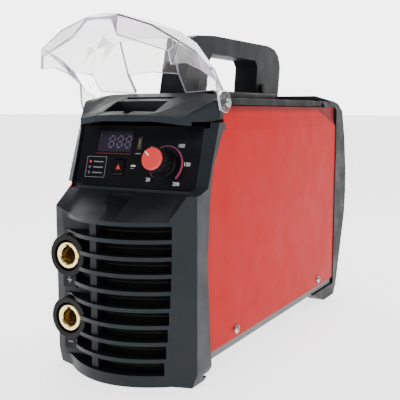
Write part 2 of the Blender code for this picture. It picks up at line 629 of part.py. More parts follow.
def fan():
    frame = block("fan_frame", (-40, 140.0, FAN_Z - 40), (40, 160.6, FAN_Z + 40), "black_plastic")
    combine(frame, "DIFFERENCE", rod("fan_tunnel", 37.6, "Y", 144.5, 170, (0, 0, FAN_Z), sides=32),
            block("fan_inlet_right", (8, 130, FAN_Z - 22), (26, 150, FAN_Z + 22)),
            block("fan_inlet_left", (-26, 130, FAN_Z - 22), (-8, 150, FAN_Z + 22)))

    hub = [(0, 145.2), (15, 145.2), (15, 157), (13, 158.5), (0, 158.5)]
    rotor = turned("fan_rotor", hub, "Y", (0, 0, FAN_Z), "black_plastic")
    blades = 7
    pitch = Matrix.Rotation(math.radians(38), 4, "X")
    for i in range(blades):
        blade = block("fan_blade_%d" % i, (12, -6, -1.1), (36.4, 6, 1.1))
        spin = Matrix.Rotation(2 * math.pi * i / blades, 4, "Y")
        blade.matrix_basis = Matrix.Translation((0, 151.2 * MM, FAN_Z * MM)) @ spin @ \
            blade.matrix_basis @ pitch
        combine(rotor, "UNION", blade)

    ring = [(37.0, 164.4), (40.0, 164.4), (40.0, 166.2), (37.0, 166.2)]
    guard = turned("fan_guard", ring, "Y", (0, 0, FAN_Z), "steel", steps=32)
    for radius in (10, 19, 28):
        hoop = [(radius - 1, 164.6), (radius + 1, 164.6), (radius + 1, 166.0), (radius - 1, 166.0)]
        combine(guard, "UNION", turned("guard_ring_%d" % radius, hoop, "Y", (0, 0, FAN_Z)))
    for turn in (45, 135):
        bar = block("guard_bar_%d" % turn, (-52.5, 164.5, -1.3), (52.5, 166.1, 1.3))
        bar.matrix_basis = Matrix.Translation((0, 0, FAN_Z * MM)) @ \
            Matrix.Rotation(math.radians(turn), 4, "Y") @ bar.matrix_basis
        combine(guard, "UNION", bar)
    head = [(0, 168.6), (2.2, 168.5), (3.8, 166.6), (1.9, 166.6), (1.9, 142), (0, 142)]
    for i, (x, z) in enumerate(fan_corners(), 1):
        at = (x, 0, z)
        combine(guard, "UNION", rod("guard_pad_%d" % i, 4.2, "Y", 164.4, 166.2, at, sides=12))
        turned("fan_screw_%d" % i, head, "Y", at, "steel", steps=12)
    for i, (x, z) in enumerate(fan_corners(), 1):
        at = (x, 0, z)
        combine(guard, "DIFFERENCE", rod("guard_hole_%d" % i, 2.3, "Y", 160, 170, at, sides=10))
        combine(frame, "DIFFERENCE", rod("frame_hole_%d" % i, 2.2, "Y", 130, 170, at, sides=10))


def power_switch():
    x, z = SWITCH
    housing = block("switch_housing", (x - 14.2, 146.5, z - 10.7), (x + 14.2, 164.4, z + 10.7),
                    "black_plastic")
    combine(housing, "UNION", block("switch_flange", (x - 16.0, BACK_Y + GAP, z - 12.6),
                                    (x + 16.0, 166.4, z + 12.6)))
    combine(housing, "DIFFERENCE", block("switch_well", (x - 12.6, 151, z - 9.1),
                                         (x + 12.6, 180, z + 9.1)))
    profile = [(-3.5, 0), (-1.0, -6.0), (3.6, -8.4), (5.0, -8.7), (5.3, -1.5), (7.7, 6.5), (-1.0, 6.0)]
    rocker = prism("power_rocker", profile, "X", -12.1, 12.1, "red_plastic")
    rocker.location = Vector((x, ROCKER_Y, z)) * MM


def mains_gland():
    x, z = GLAND
    at = (x, 0, z)
    body = [(4.6, 152.0), (8.8, 152.0), (8.8, 164.3), (12.4, 164.3), (12.4, 168.0), (9.6, 168.0),
            (9.6, 171.0), (4.6, 171.0)]
    turned("gland_body", body, "Y", at, "black_plastic", steps=20)
    nut = [(4.6, 171.4), (11.0, 171.4), (11.0, 176.0), (9.8, 179.5), (5.2, 181.5), (4.6, 181.5)]
    turned("gland_nut", nut, "Y", at, "black_plastic", steps=12)
    lock = [(10.6, 155.4), (14.2, 155.4), (14.2, 160.6), (10.6, 160.6)]
    turned("gland_locknut", lock, "Y", at, "black_plastic", steps=6)


# ---------------------------------------------------------------- inside

def heatsink(name, low_x, high_x):
    """Extruded heat sink: a base plate with six fins, seen from the front."""
    fins = 6
    width = (high_x - low_x) / (2 * fins - 1)
    base, web, tip = 36.0, 41.0, 72.0
    outline = [(low_x, base), (high_x, base)]
    for i in reversed(range(fins)):
        left = low_x + 2 * i * width
        outline += [(left + width, tip), (left, tip)]
        if i:
            outline += [(left, web), (left - width, web)]
    prism(name, outline, "Y", -30, 70, "aluminium")


def electronics():
    block("main_board", (-52, -96, 32.0), (52, 132, 33.6), "green_board")
    heatsink("heatsink_left", -50, -14)
    heatsink("heatsink_right", 14, 50)
    core = block("transformer_core", (-24, -80, 36), (24, -58, 80), "ferrite")
    combine(core, "DIFFERENCE", block("core_window_left", (-18, -90, 42), (-7, -50, 74)),
            block("core_window_right", (7, -90, 42), (18, -50, 74)))
    coil = block("transformer_winding", (-17, -88, 43), (17, -50, 73), "copper")
    combine(coil, "DIFFERENCE", block("core_leg", (-7.6, -80.6, 30), (7.6, -57.4, 90)))
    ring = [(9, 84), (21, 84), (22, 87), (22, 99), (21, 102), (9, 102), (8, 99), (8, 87)]
    turned("output_choke", ring, "Z", (0, -66, 0), "copper", steps=20)
    can = [(0, 34.0), (11.5, 34.0), (11.5, 62.5), (10.7, 64), (0, 64)]
    for i, y in enumerate((88, 114), 1):
        turned("bus_capacitor_%d" % i, can, "Z", (-36, y, 0), "navy", steps=20)
    block("bridge_rectifier", (20, 80, 34.0), (48, 108, 44), "black_plastic")


# ---------------------------------------------------------------- build

def define_looks():
    look("red_paint", (0.72, 0.07, 0.06), 0.35)
    look("grey_paint", (0.22, 0.22, 0.23), 0.5)
    look("charcoal", (0.045, 0.055, 0.065), 0.55)
    look("black_plastic", (0.012, 0.012, 0.013), 0.5)
    look("gloss_black", (0.006, 0.006, 0.007), 0.12)
    look("red_plastic", (0.75, 0.05, 0.05), 0.35)
    look("smoke", (0.03, 0.02, 0.05), 0.1)
    look("lens", (0.05, 0.04, 0.03), 0.2)
    look("clear_plastic", (0.85, 0.85, 0.9), 0.05)
    look("steel", (0.6, 0.6, 0.6), 0.3, 1.0)
    look("aluminium", (0.75, 0.76, 0.78), 0.35, 1.0)
    look("brass", (0.8, 0.6, 0.25), 0.25, 1.0)
    look("copper", (0.72, 0.36, 0.2), 0.35, 1.0)
    look("green_board", (0.03, 0.2, 0.08), 0.45)
    look("ferrite", (0.06, 0.06, 0.07), 0.7)
    look("navy", (0.03, 0.05, 0.18), 0.35)


for old in list(bpy.data.objects):
    bpy.data.objects.remove(old)
for group in (PARTS, CUTTERS):
    bpy.context.scene.collection.children.link(group)
MACHINE = bpy.data.objects.new("machine_frame", None)
MACHINE.location.y = -FOOTPRINT_Y * MM
PARTS.objects.link(MACHINE)
PANEL_FRAME = bpy.data.objects.new("panel_frame", None)
PANEL_FRAME.parent = MACHINE
PARTS.objects.link(PANEL_FRAME)
PANEL_FRAME.location = PANEL_MID * MM
PANEL_FRAME.rotation_euler = (math.pi / 2 - PANEL_LEAN, 0, 0)
bpy.context.view_layer.update()

define_looks()
side_panel("side_panel_right", 1)
side_panel("side_panel_left", -1)
base_tray()
top_cover()
side_screws()
front_bezel()
brow_cap()
control_panel()
knob()
for socket_name, socket_z in SOCKET_Z.items():
    socket(socket_name, socket_z)
clear_cover()
handle()
rear_bezel()
fan()
power_switch()
mains_gland()
electronics()
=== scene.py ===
"""Looks for the stick welding inverter: finishes, printing, a finer hood, floor, lights, camera.

All sizes are metres in the CAD's own frame: +Z up, the front faces -Y.
"""
import json
import math

import bmesh
import bpy
from mathutils import Matrix, Vector


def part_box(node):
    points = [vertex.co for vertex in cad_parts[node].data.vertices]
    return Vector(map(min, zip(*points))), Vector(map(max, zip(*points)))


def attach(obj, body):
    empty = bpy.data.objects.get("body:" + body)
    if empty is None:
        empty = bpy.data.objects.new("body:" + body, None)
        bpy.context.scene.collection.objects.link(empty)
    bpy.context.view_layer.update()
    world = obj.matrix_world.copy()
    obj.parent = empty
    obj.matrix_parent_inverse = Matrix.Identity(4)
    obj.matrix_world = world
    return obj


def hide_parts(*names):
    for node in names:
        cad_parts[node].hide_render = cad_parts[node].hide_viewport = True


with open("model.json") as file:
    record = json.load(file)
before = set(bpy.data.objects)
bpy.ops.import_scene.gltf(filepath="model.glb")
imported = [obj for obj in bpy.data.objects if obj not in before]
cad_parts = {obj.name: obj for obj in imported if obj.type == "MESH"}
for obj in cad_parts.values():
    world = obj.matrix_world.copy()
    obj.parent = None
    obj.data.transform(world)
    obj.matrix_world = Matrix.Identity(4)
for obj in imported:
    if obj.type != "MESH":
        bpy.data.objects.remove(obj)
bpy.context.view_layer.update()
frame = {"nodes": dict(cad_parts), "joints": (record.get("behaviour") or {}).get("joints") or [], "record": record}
NODES = frame["nodes"]
RECORD = frame["record"]
JOINTS = {joint["name"]: joint for joint in frame["joints"]}
MM = 0.001
# The view was set for a frame whose y = 0 lay this far in front of the footprint's middle
FOOTPRINT_Y = 0.00475


# ---------------------------------------------------------------- finishes

class Finish:
    """Node material built up from layers of noise: tone, wear, roughness and relief."""

    def __init__(self, name, colour, rough, metal=0.0, coat=0.0, shine=0.16):
        self.material = bpy.data.materials.new(name)
        self.material.use_nodes = True
        self.nodes = self.material.node_tree.nodes
        self.links = self.material.node_tree.links
        self.shader = self.nodes["Principled BSDF"]
        self.shader.inputs["Metallic"].default_value = metal
        self.shader.inputs["Specular IOR Level"].default_value = shine
        self.shader.inputs["Coat Weight"].default_value = coat
        self.shader.inputs["Coat Roughness"].default_value = 0.12
        self.place = self.nodes.new("ShaderNodeTexCoord").outputs["Object"]
        self.colour = self.flat(colour)
        self.rough = rough
        self.height = None

    def flat(self, colour):
        node = self.nodes.new("ShaderNodeRGB")
        node.outputs[0].default_value = (*colour, 1.0)
        return node.outputs[0]

    def noise(self, per_metre, detail=4.0, stretch=(1, 1, 1)):
        mapping = self.nodes.new("ShaderNodeMapping")
        mapping.inputs["Scale"].default_value = stretch
        self.links.new(self.place, mapping.inputs["Vector"])
        node = self.nodes.new("ShaderNodeTexNoise")
        node.inputs["Scale"].default_value = per_metre
        node.inputs["Detail"].default_value = detail
        self.links.new(mapping.outputs[0], node.inputs["Vector"])
        return node.outputs["Fac"]

    def ramp(self, value, low, high, low_value=0.0, high_value=1.0):
        """Map a value from one range to another, clamped at both ends."""
        node = self.nodes.new("ShaderNodeMapRange")
        for key, number in (("From Min", low), ("From Max", high), ("To Min", low_value),
                            ("To Max", high_value)):
            node.inputs[key].default_value = number
        self.links.new(value, node.inputs["Value"])
        return node.outputs["Result"]

    def mix(self, share, other):
        """Blend the colour so far with another."""
        node = self.nodes.new("ShaderNodeMix")
        node.data_type = "RGBA"
        self.links.new(share, node.inputs["Factor"])
        self.links.new(self.colour, node.inputs["A"])
        self.links.new(self.flat(other), node.inputs["B"])
        self.colour = node.outputs["Result"]
        return self

    def tone(self, other, per_metre=14.0, amount=0.5):
        """Broad, soft changes of colour."""
        return self.mix(self.ramp(self.noise(per_metre), 0.35, 0.7, 0.0, amount), other)

    def specks(self, other, per_metre=900.0, amount=0.6, start=0.66):
        """Small marks: dust, scuffs or flakes."""
        return self.mix(self.ramp(self.noise(per_metre, 2.0), start, start + 0.08, 0.0, amount), other)

    def part_of_place(self, axis):
        """One coordinate of the shaded point."""
        split = self.nodes.new("ShaderNodeSeparateXYZ")
        self.links.new(self.place, split.inputs[0])
        return split.outputs[axis]

    def along(self, axis, low, high, other, amount=1.0):
        """Fade to another colour along a world axis, from low to high metres."""
        return self.mix(self.ramp(self.part_of_place(axis), low, high, 0.0, amount), other)

    def beyond(self, direction, level, other):
        """Another colour past a plane, such as painted shade over the turned-in corner of a sheet."""
        node = self.nodes.new("ShaderNodeVectorMath")
        node.operation = "DOT_PRODUCT"
        node.inputs[1].default_value = direction
        self.links.new(self.place, node.inputs[0])
        edge = 0.0004
        return self.mix(self.ramp(node.outputs["Value"], level, level + edge), other)

    def inside(self, half_width, other):
        """Another colour nearer the middle plane than half_width, such as painted shade on a sheet's inner side.
        """
        away = self.nodes.new("ShaderNodeMath")
        away.operation = "ABSOLUTE"
        self.links.new(self.part_of_place("X"), away.inputs[0])
        edge = 0.0002
        return self.mix(self.ramp(away.outputs[0], half_width, half_width + edge, 1.0, 0.0), other)

    def grain(self, per_metre, strength=0.25, distance=0.0001, stretch=(1, 1, 1)):
        """Fine relief of the surface."""
        bump = self.nodes.new("ShaderNodeBump")
        bump.inputs["Strength"].default_value = strength
        bump.inputs["Distance"].default_value = distance
        self.links.new(self.noise(per_metre, 3.0, stretch), bump.inputs["Height"])
        if self.height:
            self.links.new(self.height, bump.inputs["Normal"])
        self.height = bump.outputs["Normal"]
        return self

    def glow(self, strength):
        self.shader.inputs["Emission Color"].default_value = (1.0, 1.0, 1.0, 1.0)
        self.shader.inputs["Emission Strength"].default_value = strength
        return self

    def done(self, spread=0.08, per_metre=60.0, stretch=(1, 1, 1)):
        value = self.ramp(self.noise(per_metre, 5.0, stretch), 0.3, 0.7, self.rough - spread,
                          self.rough + spread)
        self.links.new(value, self.shader.inputs["Roughness"])
        self.links.new(self.colour, self.shader.inputs["Base Color"])
        if self.height:
            self.links.new(self.height, self.shader.inputs["Normal"])
        return self.material


def glassy(material, transmission):
    """Let light through, as in clear polycarbonate."""
    shader = material.node_tree.nodes["Principled BSDF"]
    shader.inputs["Transmission Weight"].default_value = transmission
    shader.inputs["IOR"].default_value = 1.45
    return material


def make_finishes():
    looks = {}
    looks["red_paint"] = (Finish("powder_red", (0.42, 0.0015, 0.0025), 0.5, shine=0.06)
                          .along("Y", -0.10, 0.15, (0.42, 0.005, 0.007), 0.6)
                          .tone((0.40, 0.003, 0.004), 9.0, 0.25).specks((0.4, 0.015, 0.015), 700, 0.25)
                          # Painted shade: darker red over the turned-in rear top corner of the sheets, past a
                          # slanted plane
                          .beyond((0, 0.287, 0.958), 0.2086, (0.16, 0.003, 0.005))
                          # Painted shade: darker red on the inner sides of the sheets, where the inside of the
                          # case lies in shade
                          .inside(0.0583, (0.16, 0.006, 0.008))
                          .grain(2600, 0.14, 0.00008).grain(90, 0.05, 0.0004).done(0.06))
    looks["grey_paint"] = (Finish("powder_grey", (0.115, 0.115, 0.12), 0.5)
                           .tone((0.15, 0.15, 0.15), 20).specks((0.07, 0.07, 0.07), 800, 0.4)
                           .grain(2400, 0.2).done())
    looks["charcoal_plastic"] = (Finish("charcoal_grain", (0.0085, 0.0120, 0.0150), 0.44)
                                 .tone((0.012, 0.016, 0.0195), 16, 0.6)
                                 .specks((0.035, 0.04, 0.044), 1100, 0.3)
                                 .grain(3400, 0.34, 0.00012).grain(500, 0.08, 0.0002).done(0.09))
    looks["black_plastic"] = (Finish("black_grain", (0.0036, 0.0038, 0.0042), 0.55)
                              .tone((0.008, 0.008, 0.009), 18, 0.6)
                              .specks((0.02, 0.02, 0.02), 1000, 0.3)
                              .grain(3200, 0.28, 0.0001).done(0.1))
    looks["dark_handle"] = (Finish("dark_handle", (0.006, 0.0075, 0.009), 0.46)
                            .tone((0.009, 0.011, 0.013), 18, 0.6)
                            .specks((0.025, 0.027, 0.03), 1000, 0.3)
                            .grain(3200, 0.3, 0.0001).done(0.09))
    looks["base_brown"] = (Finish("base_brown", (0.014, 0.0095, 0.008), 0.45)
                           .tone((0.02, 0.015, 0.013), 22).specks((0.04, 0.034, 0.03), 900, 0.3)
                           .grain(3000, 0.25).done(0.1))
    looks["gloss_black"] = (Finish("gloss_overlay", (0.0022, 0.0024, 0.0034), 0.24, coat=0.15)
                            .tone((0.005, 0.0055, 0.0075), 30, 0.7)
                            .specks((0.02, 0.02, 0.024), 1400, 0.25, 0.7)
                            .grain(700, 0.05, 0.0001).done(0.07, 45))
    looks["smoked_window"] = (Finish("smoked_window", (0.014, 0.010, 0.022), 0.12, coat=0.8)
                              .tone((0.022, 0.014, 0.034), 60).specks((0.06, 0.06, 0.07), 1500, 0.2)
                              .grain(500, 0.03, 0.0001).done(0.05, 70))
    looks["lens"] = (Finish("amber_lens", (0.028, 0.022, 0.016), 0.18, coat=0.6)
                     .tone((0.07, 0.05, 0.02), 160).specks((0.1, 0.09, 0.06), 1500, 0.25)
                     .grain(900, 0.1).done(0.06))
    looks["red_plastic"] = (Finish("red_cap", (0.66, 0.045, 0.045), 0.3, coat=0.3)
                            .tone((0.5, 0.03, 0.03), 60).specks((0.4, 0.03, 0.03), 1200, 0.3)
                            .grain(2600, 0.12).done(0.07))
    looks["steel"] = (Finish("zinc_steel", (0.40, 0.385, 0.37), 0.3, 1.0)
                      .tone((0.28, 0.27, 0.26), 220, 0.7).specks((0.16, 0.15, 0.14), 1500, 0.4)
                      .grain(1800, 0.15, 0.00006).done(0.12, 300))
    looks["brass"] = (Finish("machined_brass", (0.86, 0.68, 0.34), 0.22, 1.0)
                      .tone((0.72, 0.5, 0.2), 180, 0.6).specks((0.42, 0.28, 0.12), 1300, 0.35)
                      .grain(400, 0.12, 0.00006, (1, 14, 1)).done(0.1, 240))
    looks["copper"] = (Finish("copper", (0.72, 0.36, 0.2), 0.34, 1.0)
                       .tone((0.5, 0.24, 0.13), 120).specks((0.3, 0.15, 0.1), 1100, 0.4)
                       .grain(1500, 0.2).done(0.12, 200))
    looks["aluminium"] = (Finish("extruded_aluminium", (0.72, 0.73, 0.75), 0.36, 1.0)
                          .tone((0.6, 0.6, 0.62), 80).specks((0.4, 0.4, 0.4), 1200, 0.3)
                          .grain(600, 0.15, 0.0001, (1, 0.05, 1)).done(0.1, 140))
    looks["circuit_board"] = (Finish("solder_mask", (0.02, 0.13, 0.055), 0.38, coat=0.3)
                              .tone((0.03, 0.18, 0.08), 90).specks((0.45, 0.4, 0.2), 420, 0.7, 0.68)
                              .grain(500, 0.2).done(0.1))
    looks["ferrite"] = (Finish("ferrite", (0.05, 0.05, 0.055), 0.68)
                        .tone((0.08, 0.08, 0.085), 60).specks((0.13, 0.13, 0.13), 900, 0.4)
                        .grain(1500, 0.35).done())
    looks["capacitor_sleeve"] = (Finish("capacitor_sleeve", (0.025, 0.045, 0.16), 0.3, coat=0.3)
                                 .tone((0.04, 0.06, 0.2), 80).specks((0.1, 0.1, 0.2), 900, 0.3)
                                 .grain(600, 0.1).done())
    looks["clear_plastic"] = glassy(Finish("clear_sheet", (0.84, 0.832, 0.815), 0.05)
                                    # Painted highlight: the clear sheet turns pale violet-white towards the top of
                                    # the hood
                                    .along("Z", 0.240, 0.2545, (0.90, 0.80, 0.95), 0.8)
                                    .tone((0.86, 0.85, 0.84), 22, 0.5)
                                    .specks((0.93, 0.93, 0.93), 1000, 0.3)
                                    .grain(45, 0.3, 0.0012).done(0.03), 0.96)
    # Painted reflection: dark violet edges with bright violet-white patches and white glints, for light caught in
    # the hood's clear cut edges
    looks["edge_painted_highlight"] = glassy(Finish("edge_painted_highlight", (0.36, 0.32, 0.42), 0.10)
                                 .tone((0.95, 0.86, 1.0), 55, 0.8)
                                 .specks((1.0, 1.0, 1.0), 900, 0.4)
                                 .grain(300, 0.2, 0.0003).done(0.05), 0.35)
    looks["print_white"] = (Finish("print_white", (0.78, 0.79, 0.80), 0.45)
                            .tone((0.62, 0.63, 0.66), 200).specks((0.4, 0.4, 0.42), 1600, 0.4)
                            .grain(2500, 0.15).done())
    looks["print_grey"] = (Finish("print_grey", (0.19, 0.195, 0.215), 0.5)
                           .tone((0.13, 0.13, 0.15), 200).specks((0.3, 0.3, 0.32), 1600, 0.3)
                           .grain(2500, 0.15).done())
    looks["print_red"] = (Finish("print_red", (0.58, 0.035, 0.05), 0.42)
                          .tone((0.4, 0.03, 0.05), 200).specks((0.25, 0.03, 0.04), 1600, 0.3)
                          .grain(2500, 0.15).done())
    looks["print_dark_red"] = (Finish("print_dark_red", (0.12, 0.018, 0.015), 0.42)
                               .tone((0.08, 0.012, 0.012), 200).specks((0.2, 0.03, 0.03), 1600, 0.3)
                               .grain(2500, 0.15).done())
    looks["print_scale"] = (Finish("print_scale", (0.16, 0.05, 0.13), 0.42)
                            .along("X", 0.006, 0.024, (0.60, 0.03, 0.045))
                            .tone((0.3, 0.04, 0.12), 200, 0.3).specks((0.2, 0.03, 0.06), 1600, 0.3)
                            .grain(2500, 0.15).done())
    looks["print_digit"] = (Finish("print_digit", (0.085, 0.075, 0.115), 0.4)
                            .tone((0.12, 0.1, 0.16), 200).specks((0.05, 0.05, 0.07), 1600, 0.3)
                            .grain(2500, 0.15).done())
    # Painted shade: darkened brass for the floor of the deep socket bores
    looks["painted_shade_bore"] = (Finish("socket_floor_painted_shade", (0.03, 0.022, 0.01), 0.5, 0.6)
                          .tone((0.06, 0.04, 0.015), 200).specks((0.1, 0.07, 0.03), 1500, 0.3)
                          .grain(900, 0.2).done())
    looks["floor"] = (Finish("pale_floor", (0.86, 0.86, 0.86), 0.6)
                      .tone((0.9, 0.9, 0.9), 2.0).specks((0.82, 0.82, 0.82), 300, 0.2)
                      .grain(300, 0.04, 0.0002).glow(2.2).done())
    return looks


LOOKS = make_finishes()


# ---------------------------------------------------------------- CAD pieces

# Width of each node's rounded edges, in millimetres
BEVELS = {"handle": 0.5, "brow_cap": 0.7, "front_bezel": 0.35, "rear_bezel": 0.9, "top_cover": 0.6,
          "handle_base": 1.4, "side_panel_right": 0.3, "side_panel_left": 0.3, "base_tray": 0.3,
          "control_panel": 0.15, "display_window": 0.15, "mode_button": 0.25, "knob_body": 0.4,
          "knob_cap": 0.5, "power_rocker": 0.6, "switch_housing": 0.5}
OTHER_BEVEL = 0.25
# Degrees between two faces from which their edge is rounded
SHARP = 34
# Vertices this close, in metres, are one
SAME_SPOT = 0.00001
# Pieces whose tone differs from the rest of their material
OTHER_LOOKS = {"handle_base": "base_brown", "rear_bezel": "black_plastic", "handle": "dark_handle"}
# Folded sheets and faceted mouldings show each of their facets: a lower angle, and no smoothing
CREASES = {"side_panel_right": 2, "side_panel_left": 2, "brow_cap": 12, "rear_bezel": 8,
           "handle": 20}
FACETED = ("brow_cap", "side_panel_right", "side_panel_left", "rear_bezel")


def round_edges(piece, width, angle):
    bevel = piece.modifiers.new("edges", "BEVEL")
    bevel.width = width * MM
    bevel.segments = 2
    bevel.limit_method = "ANGLE"
    bevel.angle_limit = angle
    return bevel


def dress(name, look, width):
    """Give a CAD node its finish, and round its edges."""
    node = NODES[name]
    node.data.materials.clear()
    node.data.materials.append(look)
    if "custom_normal" in node.data.attributes:
        node.data.attributes.remove(node.data.attributes["custom_normal"])
    if name in FACETED:
        node.data.shade_flat()
    else:
        node.data.shade_smooth()
    weld = node.modifiers.new("weld", "WELD")
    weld.merge_threshold = SAME_SPOT
    round_edges(node, width, math.radians(CREASES.get(name, SHARP)))
    if name not in FACETED:
        node.modifiers.new("normals", "WEIGHTED_NORMAL")


for subpart in RECORD["subparts"]:
    piece = subpart["node"]
    dress(piece, LOOKS[OTHER_LOOKS.get(piece, subpart["material_slot"])], BEVELS.get(piece, OTHER_BEVEL))


# ---------------------------------------------------------------- pieces of our own

def add(name, data, look, body, place=Matrix.Identity(4)):
    """Put a mesh or curve in the scene as a piece of the object."""
    piece = bpy.data.objects.new(name, data)
    bpy.context.scene.collection.objects.link(piece)
    piece.matrix_world = place
    data.materials.append(LOOKS[look])
    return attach(piece, body)


def to_data(name, shape):
    """Turn a bmesh into mesh data, and free it."""
    data = bpy.data.meshes.new(name)
    shape.to_mesh(data)
    shape.free()
    return data


def plate(name, outline, height, look, body, place):
    """Flat outline in X and Y, raised by a height, such as a printed mark."""
    shape = bmesh.new()
    corners = [shape.verts.new((x * MM, y * MM, 0)) for x, y in outline]
    face = shape.faces.new(corners)
    raised = bmesh.ops.extrude_face_region(shape, geom=[face])["geom"]
    top = [item for item in raised if isinstance(item, bmesh.types.BMVert)]
    bmesh.ops.translate(shape, vec=(0, 0, height * MM), verts=top)
    bmesh.ops.recalc_face_normals(shape, faces=shape.faces)
    return add(name, to_data(name, shape), look, body, place)


def box_outline(middle, half):
    (u, v), (w, h) = middle, half
    return [(u - w, v - h), (u + w, v - h), (u + w, v + h), (u - w, v + h)]


# The panel's own frame, from the knob's joint: X across, Y up the panel and Z out of it
OUT = Vector(JOINTS["knob_turn"]["axis"]).normalized()
ACROSS = Vector((1, 0, 0))
DIAL = Matrix.Translation(Vector(JOINTS["knob_turn"]["pos_m"])) @ \
    Matrix((ACROSS, OUT.cross(ACROSS), OUT)).transposed().to_4x4()
# Heights over the panel in millimetres: printing, the window's and lens's faces, the button's top
SURFACE = 0.02
IN_WINDOW = -0.18
ON_LENS = -0.06
ON_BUTTON = 0.92
ON_CAP = 19.68
# Thickness of a printed mark, and of the pointer
PRINT = 0.1
POINTER = 0.12


def lift(height):
    """The panel's frame, raised by a height in millimetres."""
    return DIAL @ Matrix.Translation((0, 0, height * MM))


def on_panel(node):
    """A CAD node's middle, across and up the panel from the knob's axis, in millimetres."""
    low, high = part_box(node)
    spot = DIAL.inverted() @ ((low + high) / 2)
    return spot.x / MM, spot.y / MM


def mark(name, outline, look, height=SURFACE, body="machine"):
    return plate(name, outline, PRINT, look, body, lift(height))


def scale_ring():
    """Tapered band of the current scale round the knob, three quarters of a turn."""
    steps = 40
    start, turn = math.radians(225), math.radians(-270)
    rings = ([], [])
    for i in range(steps + 1):
        share = i / steps
        angle = start + turn * share
        for ring, radius in zip(rings, (13.2 - 0.3 * share, 13.5 + 0.9 * share)):
            ring.append((radius * math.cos(angle), radius * math.sin(angle)))
    return mark("current_scale", rings[0] + rings[1][::-1], "print_scale")


def numeral(name, text, spot, size):
    curve = bpy.data.curves.new(name, "FONT")
    curve.body = text
    curve.size = size * MM
    curve.align_x = "CENTER"
    curve.align_y = "CENTER"
    curve.extrude = PRINT / 2 * MM
    place = lift(SURFACE + PRINT / 2) @ Matrix.Translation((spot[0] * MM, spot[1] * MM, 0))
    return add(name, curve, "print_white", "machine", place)


def digit(name, middle, width, height):
    """Seven bars of an unlit display digit, leaning a little."""
    thick, gap, lean = 1.1, 0.25, 0.12
    half_w, half_h = width / 2, height / 2
    bars = []
    for level in (-half_h, 0.0, half_h):
        bars.append(((0, level), (half_w - thick / 2 - gap, thick / 2)))
    for side in (-half_w, half_w):
        for level in (-half_h / 2, half_h / 2):
            bars.append(((side, level), (thick / 2, half_h / 2 - thick / 2 - gap)))
    for i, (spot, half) in enumerate(bars):
        outline = [(middle[0] + x + lean * y, middle[1] + y) for x, y in box_outline(spot, half)]
        mark("%s_bar_%d" % (name, i), outline, "print_digit", IN_WINDOW)


def panel_printing():
    """Scale, display digits, labels and the box of status lights."""
    scale_ring()
    radius, size = 17.4, 3.7
    amps = (("20", 222), ("60", 140), ("100", 52), ("150", 2), ("200", -52))
    for i, (text, turn) in enumerate(amps):
        spot = (radius * math.cos(math.radians(turn)), radius * math.sin(math.radians(turn)))
        numeral("scale_number_%d" % i, text, spot, size)
    u, v = on_panel("display_window")
    first, pitch, width, height = -3.0, 7.4, 4.4, 8.6
    for i in range(3):
        digit("digit_%d" % i, (u + first + pitch * i, v), width, height)
    mark("display_line", box_outline((u, v - 9.0), (16.0, 0.3)), "print_dark_red")
    u, v = on_panel("warning_lens")
    mark("lens_sign_stem", box_outline((u, v + 0.8), (0.4, 1.8)), "print_grey", ON_LENS)
    mark("lens_sign_dot", box_outline((u, v - 2.2), (0.5, 0.5)), "print_grey", ON_LENS)
    mark("lens_label", box_outline((u, v - 8.0), (2.2, 0.35)), "print_grey")

    u, v = on_panel("mode_button")
    left, middle = u - 21.0, v - 0.4
    half_w, half_h, line = 8.8, 7.8, 0.16
    for name, spot, half in (("top", (left, middle + half_h), (half_w, line)),
                             ("low", (left, middle - half_h), (half_w, line)),
                             ("left", (left - half_w, middle), (line, half_h)),
                             ("right", (left + half_w, middle), (line, half_h))):
        mark("light_box_" + name, box_outline(spot, half), "print_grey")
    sides, light_r = 20, 1.1
    for i, level in enumerate((3.6, -0.6, -4.8)):
        light = [(left - 5.6 + light_r * math.cos(a), v + level + light_r * math.sin(a))
                 for a in (math.tau * k / sides for k in range(sides))]
        mark("status_light_%d" % i, light, "print_digit" if i else "print_red")
        mark("status_label_%d" % i, box_outline((left + 2.0, v + level), (4.4, 0.4)), "print_grey")
    mark("mode_label", box_outline((u + 12.5, v + 1.5), (2.0, 0.5)), "print_white")
    mark("mode_label_low", box_outline((u + 12.0, v - 0.4), (1.4, 0.3)), "print_grey")
    mark("button_mark", [(u - 2.0, v - 1.7), (u + 2.0, v - 1.7), (u, v + 2.2)], "print_red",
         ON_BUTTON, "button")


def knob_details():
    """Grip ribs round the knob, and a pointer on its cap."""
    ribs, ring, height, draft = 24, 8.3 * MM, 10.2 * MM, math.radians(-2)
    for i in range(ribs):
        shape = bmesh.new()
        bmesh.ops.create_cone(shape, cap_ends=True, segments=8, radius1=0.55 * MM,
                              radius2=0.42 * MM, depth=12.6 * MM)
        data = to_data("knob_rib_%d" % i, shape)
        data.shade_smooth()
        place = DIAL @ Matrix.Rotation(math.tau * i / ribs, 4, "Z") @ \
            Matrix.Translation((ring, 0, height)) @ Matrix.Rotation(draft, 4, "Y")
        add("knob_rib_%d" % i, data, "black_plastic", "current_knob", place)
    pointer = Matrix.Rotation(math.radians(140), 4, "Z")
    plate("knob_pointer", box_outline((5.2, 0), (2.2, 0.4)), POINTER, "print_white",
          "current_knob", lift(ON_CAP) @ pointer)


# The tab's face behind the collar's front, and the bore's floor behind the insert's front
TAB_BACK = 0.0025
BORE_DEEP = 0.0177
BORE_R = 5.9
BORE_SIDES = 28


